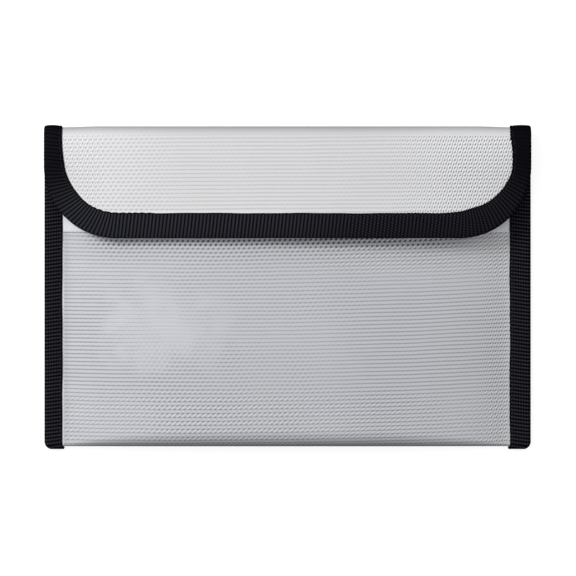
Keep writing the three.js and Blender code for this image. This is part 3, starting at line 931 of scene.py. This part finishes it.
def stitches(name, stations, side, material=THREAD):
    """A row of separate stitches on the tape's outer face, or on its inner face for side -1."""
    around = np.linspace(0, 2 * math.pi, 7)[:-1]
    vertices, faces = [], []
    for first in range(2, len(stations) - STITCH_STATIONS, STITCH_STATIONS + STITCH_GAP):
        rings = []
        for k in range(0, STITCH_STATIONS, 2):
            station = stations[first + k]
            share = k / (STITCH_STATIONS - 1)
            lift = 0.16 * math.sin(math.pi * share) ** 0.5 - 0.06
            seam = inside_width(station["width"]) - STANDOFF - SEAM_INSET
            inset = seam + STITCH_RADIUS * np.cos(around)
            face = STANDOFF - 0.05 + lift + STITCH_RADIUS * 0.7 * np.sin(around)
            depth = -face if side > 0 else station["stack"] + face
            rings.append(station["place"](inset, depth))
        base = sum(len(v) for v in vertices)
        rings = np.array(rings)
        count = rings.shape[1]
        vertices.append(rings.reshape(-1, 3))
        for i in range(len(rings) - 1):
            for j in range(count):
                a, b = base + i * count + j, base + i * count + (j + 1) % count
                faces.append([a, b, b + count, a + count])
        for start, order in ((base, -1), (base + (len(rings) - 1) * count, 1)):
            ring = [start + j for j in range(count)][::order]
            faces.append([ring[0], ring[1], ring[2], ring[3]])
            faces.append([ring[0], ring[3], ring[4], ring[5]])
    piece = new_mesh(name, np.concatenate(vertices), np.array(faces))
    return dress(piece, material, "thread")


def along(start, end, step):
    return np.linspace(start, end, max(2, int(round(abs(end - start) / step)) + 1))


RIB_STEP = RIB_PITCH / STATIONS_PER_RIB


def side_stations(side, width):
    """From the bottom corner up the pouch's side and round the crease to its top."""
    stations = []
    s = 0.0
    for y in along(TAPE_BOTTOM + 0.1, CREASE_Y, RIB_STEP):
        in_pouch = 1 - ease((y - MOUTH_Y) / (CREASE_Y - MOUTH_Y))
        stack = lerp(STACK, SEAM_STACK, in_pouch)
        below = np.clip(TAPE_BOTTOM + BOTTOM_CORNER - y, 0, BOTTOM_CORNER)
        inward = BOTTOM_CORNER - math.sqrt(BOTTOM_CORNER**2 - below**2)
        past_end = np.clip(1 - (y - TAPE_BOTTOM) / LIP_ROUND, 0, 1)
        lip = LIP * (1 - ease((y - FABRIC_BOTTOM + 0.3) / 0.5))
        lip -= LIP_ROUND * (1 - math.sqrt(1 - past_end**2))

        def place(inset, depth, y=y, inward=inward):
            from_reach = np.clip(BOTTOM_CORNER_REACH - inset, 0, None)
            inset = inset + inward * from_reach / (BOTTOM_CORNER_REACH + STANDOFF)
            return back_point(side * (EDGE_X - inset), y, depth)

        wobble = 0.1 * math.sin(y / 9.0 + side) + 0.06 * math.sin(y / 3.7)
        stations.append({
            "s": s, "width": width + lip + wobble, "stack": stack, "place": place,
            "squeeze": ease((y - TAPE_BOTTOM) / SQUEEZE_LENGTH)})
        s += RIB_STEP
    arc = math.pi / 2 * CREASE_RADIUS_AT_EDGE
    for angle in along(0, math.pi / 2, RIB_STEP / arc * math.pi / 2)[1:]:

        def place(inset, depth, angle=angle):
            return crease_point(side * (EDGE_X - inset), angle, depth)

        stations.append({"s": s, "width": width, "stack": STACK, "place": place})
        s += RIB_STEP
    return stations


def flap_half(side):
    """From the top of the crease round one corner to the start of the flap's straight edge."""
    made = []
    s = 0.0
    word = "left" if side < 0 else "right"
    for angle in along(math.pi / 2, math.pi, RIB_STEP / CREASE_RADIUS_AT_EDGE):
        made.append((s, SIDE_TAPE[word], lambda inset, depth, angle=angle: (
            crease_point(side * (EDGE_X - inset), angle, depth))))
        s += RIB_STEP
    quarter = math.pi / 2 * FABRIC_CORNER
    for y in along(CREASE_Y, CORNER_Y, RIB_STEP)[1:]:
        width = flap_tape_width(side, quarter + y - CORNER_Y)
        made.append((s, width, lambda inset, depth, y=y: (
            flap_point(side * (EDGE_X - inset), y, depth))))
        s += RIB_STEP
    middle_radius = FABRIC_CORNER - 5
    for angle in along(math.pi / 2, 0, RIB_STEP / middle_radius)[1:]:

        def place(inset, depth, angle=angle):
            radius = FABRIC_CORNER - inset
            x = side * (CORNER_X + radius * math.sin(angle))
            return flap_point(x, CORNER_Y - radius * math.cos(angle), depth)

        made.append((s, flap_tape_width(side, FABRIC_CORNER * angle), place))
        s += RIB_STEP
    return made


def flap_stations():
    left, right = flap_half(-1), flap_half(1)
    stations = [(s, width, place) for s, width, place in left]
    s = left[-1][0] + RIB_STEP
    for x in along(-CORNER_X, CORNER_X, RIB_STEP)[1:-1]:
        width = flap_tape_width(math.copysign(1, x), abs(x) - CORNER_X)
        stations.append((s, width, lambda inset, depth, x=x: (
            flap_point(x, FLAP_Y + STANDOFF + inset, depth))))
        s += RIB_STEP
    for _, width, place in right[::-1]:
        stations.append((s, width, place))
        s += RIB_STEP
    return [
        {"s": s, "width": width + gather(s), "stack": STACK, "place": place}
        for s, width, place in stations
    ]


def gather(s):
    """How the tape's inner selvage wanders: puckered round the first corner, nicked at each rib."""
    first_corner = ease((s - 45) / 12) * (1 - ease((s - 84) / 8))
    second_corner = ease((s - 195) / 25)
    pucker = 0.34 * abs(math.sin(math.pi * s / 3.9 + math.sin(s / 4.1))) * first_corner
    nick = 0.13 * math.cos(2 * math.pi * s / RIB_PITCH) * second_corner
    return 0.1 * math.sin(s / 8.0) + 0.05 * math.sin(s / 3.1) + pucker + nick


def between_side_tapes(gap):
    """Left and right x of a piece that stops short of both side bindings by the gap."""
    return SIDE_TAPE["left"] + gap - HALF_WIDTH, HALF_WIDTH - SIDE_TAPE["right"] - gap


def mouth_stations():
    stations = []
    s = 0.0
    for x in along(*between_side_tapes(0.1), RIB_STEP * 2):
        stations.append({
            "s": s, "width": MOUTH_TAPE, "stack": STACK,
            "place": lambda inset, depth, x=x: mouth_point(x, inset, depth)})
        s += RIB_STEP * 2
    return stations


def mouth_point(x, inset, depth):
    """The mouth binding flattens into the seams at its two ends, where the felt is trimmed."""
    flat = pouch_lining_depth(x, 0.0) / LINING_DEPTH
    low = depth > STACK / 2
    depth = np.where(low, depth - LINING_DEPTH * (1 - flat) * 0.9, depth)
    return front_point(x, MOUTH_Y - STANDOFF - inset, depth)


def tape_length(stations):
    return (stations[-1]["s"] - stations[0]["s"]) * MM


def binding(name, stations, material, *replaced):
    tape = sweep_tape(name, stations, material)
    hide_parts(*replaced)
    return tape


def make_bindings():
    side_fabric = tape_material("side_tape", -0.1, 0.75, (1.0, 1.0, 0.60), None, False)
    for word, side in (("left", -1), ("right", 1)):
        stations = side_stations(side, SIDE_TAPE[word])
        bend_back(binding(f"{word}_binding", stations, side_fabric,
                          f"{word}_side_binding", f"{word}_crease_binding"))
        for face, direction, node in (("front", -1, "side"), ("back", 1, "crease")):
            sewing = stitches(f"{word}_stitching_{face}", stations[10:], direction)
            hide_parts(f"{word}_{node}_thread")
            bend_back(sewing)

    stations = flap_stations()
    length = tape_length(stations)
    flap_fabric = tape_material("flap_tape", 0.150, 0.7, (0.76, 0.44, 0.30), length, True)
    bend_flap(binding("flap_edge_binding", stations, flap_fabric, "flap_binding"))
    outside = stitches("flap_stitching_outside", stations, 1)
    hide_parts("flap_binding_thread")
    bend_flap(outside)
    bend_flap(stitches("flap_stitching_inside", stations, -1))

    stations = mouth_stations()
    tape = binding("mouth_edge_binding", stations, side_fabric, "mouth_binding")
    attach(tape, "pouch")
    sewing = stitches("mouth_stitching", stations, 1)
    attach(sewing, "pouch")
    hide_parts("mouth_thread")


# ---- Hook and loop ----

def flat_tape(name, x, low_y, high_y, place, base_depth, thickness, material, slot):
    """A flat band with rounded long edges, on the face at base_depth; thickness may be negative."""
    share = np.concatenate([[0, 0.01, 0.03], np.linspace(0.06, 0.94, 16), [0.97, 0.99, 1]])
    y = lerp(low_y, high_y, share)[:, None]
    edge = np.minimum(share, 1 - share)[:, None]
    height = thickness * (0.35 + 0.65 * np.sqrt(np.clip(edge / 0.05, 0, 1)))
    near = place(x[None, :], y, base_depth + height)
    far = place(x[None, :], y, np.full_like(y, base_depth))
    uv = np.stack(np.broadcast_arrays(x[None, :], y), -1)
    piece = slab(name, near, far, uv, sharp=50)
    return dress(piece, material, slot)


def make_closure():
    ends = between_side_tapes(0.4)
    x = np.linspace(*ends, 111)
    loop = flat_tape(
        "loop_tape_band", x, LOOP_LOW[1], LOOP_HIGH[1], front_point, -0.15, -1.0, LOOP, "loop_tape")
    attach(loop, "pouch")
    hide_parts("loop_tape")
    x = columns(HOOK_HIGH[0], 2.0)
    hook = flat_tape(
        "hook_tape_band", x, HOOK_LOW[1], HOOK_HIGH[1], flap_point, STACK + 0.3, 1.0, HOOK,
        "hook_tape")
    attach(hook, "flap")
    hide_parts("hook_tape")
    for word, y in (("lower", LOOP_LOW[1] + 2), ("upper", LOOP_HIGH[1] - 2)):
        row = [
            {"width": STANDOFF + SEAM_INSET,
             "place": lambda inset, depth, x=x: front_point(x, y + inset, depth - LOOP_STITCH_RISE)}
            for x in along(-LOOP_HIGH[0] + 1, LOOP_HIGH[0] - 1, RIB_STEP)
        ]
        sewing = stitches(f"loop_stitching_{word}", row, 1, PALE_THREAD)
        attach(sewing, "pouch")
        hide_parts(f"loop_{word}_thread")


# ---- Studio ----

FLOOR_Z = -0.0003
FIELD_WIDTH = 0.2842
FIELD_HEIGHT = 0.004
CAMERA_HEIGHT = 4.0
SENSOR_WIDTH = 36.0
AIM = (0.0002, -0.0004)


def make_camera():
    data = bpy.data.cameras.new("camera")
    data.sensor_width = SENSOR_WIDTH
    data.lens = SENSOR_WIDTH * (CAMERA_HEIGHT - FIELD_HEIGHT) / FIELD_WIDTH
    data.clip_end = 40
    camera = bpy.data.objects.new("camera", data)
    camera.location = (AIM[0], AIM[1], CAMERA_HEIGHT)
    bpy.context.scene.collection.objects.link(camera)
    bpy.context.scene.camera = camera


def make_key_light():
    data = bpy.data.lights.new("key", "AREA")
    data.shape = "DISK"
    data.size = 0.45
    data.energy = 7.9
    light = bpy.data.objects.new("key", data)
    light.location = (-0.85, 0.50, 0.85)
    light.rotation_euler = (-light.location).to_track_quat("-Z", "Y").to_euler()
    light.visible_camera = False
    bpy.context.scene.collection.objects.link(light)


def add_surround(name, mesh, glow):
    """A pale surface that shows behind the bag and throws no light onto it."""
    mesh.materials.append(new_material(name, **{
        "Base Color": (0.5, 0.5, 0.5, 1), "Roughness": 0.9,
        "Emission Color": (1, 1, 1, 1), "Emission Strength": glow})[0])
    obj = bpy.data.objects.new(name, mesh)
    bpy.context.scene.collection.objects.link(obj)
    obj.visible_diffuse = False
    obj.visible_glossy = False
    obj.visible_transmission = False
    obj.visible_shadow = False


def make_surround():
    floor = bpy.data.meshes.new("floor")
    corners = [(x, y, FLOOR_Z) for x, y in ((-8, -8), (8, -8), (8, 8), (-8, 8))]
    floor.from_pydata(corners, [], [(0, 1, 2, 3)])
    add_surround("floor", floor, 0.79)

    backdrop = bpy.data.meshes.new("backdrop")
    build = bmesh.new()
    bmesh.ops.create_uvsphere(build, u_segments=48, v_segments=24, radius=9.0)
    bmesh.ops.reverse_faces(build, faces=build.faces)
    build.to_mesh(backdrop)
    build.free()
    add_surround("backdrop", backdrop, 1.0)


WORLD_LIGHT = 0.78
WORLD_FLOOR = 0.30
SKY_LEAN = np.array([-0.27, 0.32, 0.90])


def make_world():
    """One large soft light all round, brightest above the bag's upper left corner."""
    world = bpy.data.worlds.new("studio")
    world.use_nodes = True
    nodes = Nodes(world.node_tree)
    background = world.node_tree.nodes["Background"]
    direction = nodes.add("ShaderNodeTexCoord").outputs["Generated"]
    toward = nodes.add("ShaderNodeVectorMath", operation="DOT_PRODUCT")
    nodes.feed(toward.inputs[0], direction)
    nodes.feed(toward.inputs[1], tuple(SKY_LEAN / np.linalg.norm(SKY_LEAN)))
    share = nodes.linear(toward.outputs["Value"], 1 - WORLD_FLOOR, WORLD_FLOOR, clamp=True)
    split = nodes.add("ShaderNodeSeparateXYZ")
    nodes.feed(split.inputs[0], direction)
    above = nodes.between(split.outputs[2], -0.1, 0.15)
    strength = nodes.times(nodes.times(share, above), WORLD_LIGHT)
    nodes.feed(background.inputs["Color"], (1, 1, 1, 1))
    nodes.feed(background.inputs["Strength"], strength)
    bpy.context.scene.world = world


def make_studio():
    make_surround()
    make_world()
    make_key_light()
    bpy.context.scene.view_settings.view_transform = "Standard"
    bpy.context.scene.view_settings.look = "None"


for layer_name in LAYERS:
    make_strip(layer_name)
make_bindings()
make_closure()
make_camera()
make_studio()
